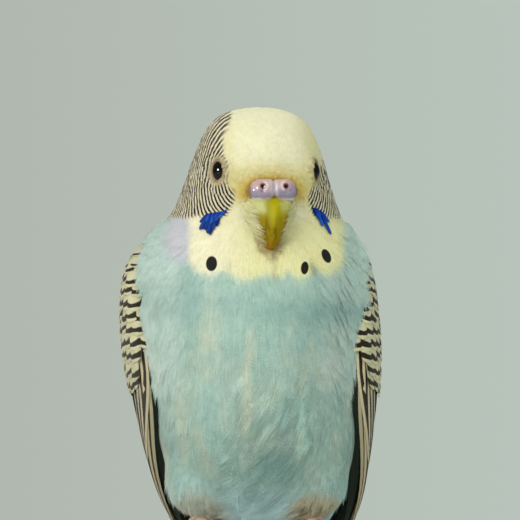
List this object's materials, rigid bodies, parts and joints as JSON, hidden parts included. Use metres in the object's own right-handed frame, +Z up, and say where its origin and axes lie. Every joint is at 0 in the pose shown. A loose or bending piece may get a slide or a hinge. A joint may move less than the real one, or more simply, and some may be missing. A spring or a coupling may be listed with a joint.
{
  "type": "budgerigar",
  "caption": "Life-size sky-blue yellowface budgerigar sitting upright on a short perch, held by a round display stand.",
  "frame": {"origin": "centre of the underside of the round stand", "axes": "+Z up, the bird's breast faces -Y and its left side is +X"},
  "size_m": [0.09, 0.09, 0.1901],
  "materials": {
    "cream_feather": "soft matt feather, cream yellow with fine black bars at the sides",
    "blue_feather": "soft matt feather, sky blue to turquoise with cream mottling",
    "barred_feather": "cream feather edges round blackish centres",
    "tail_feather": "dark blue feather with paler edges",
    "cere": "waxy bare skin, violet with whitish rims",
    "horn": "satin olive yellow horn",
    "eye": "glossy, nearly black",
    "bare_skin": "scaled flesh pink skin",
    "claw": "satin grey brown horn",
    "perch_wood": "bare wood, lightly worn",
    "stand_wood": "dark stained wood, satin",
    "stand_metal": "brushed brass"
  },
  "bodies": {
    "root": {"head": "cream_feather", "neck": "blue_feather", "torso": "blue_feather", "thigh_right": "blue_feather", "thigh_left": "blue_feather", "wing_right": "barred_feather", "wing_left": "barred_feather", "tail": "tail_feather", "cere": "cere", "beak_upper": "horn", "beak_lower": "horn", "eye_right": "eye", "eye_left": "eye", "foot_right": "bare_skin", "foot_left": "bare_skin", "perch": "perch_wood", "stand_rod": "stand_metal", "stand_base": "stand_wood", "claw_right_1": "claw", "claw_right_2": "claw", "claw_right_3": "claw", "claw_right_4": "claw", "claw_left_1": "claw", "claw_left_2": "claw", "claw_left_3": "claw", "claw_left_4": "claw"}
  },
  "joints": []
}
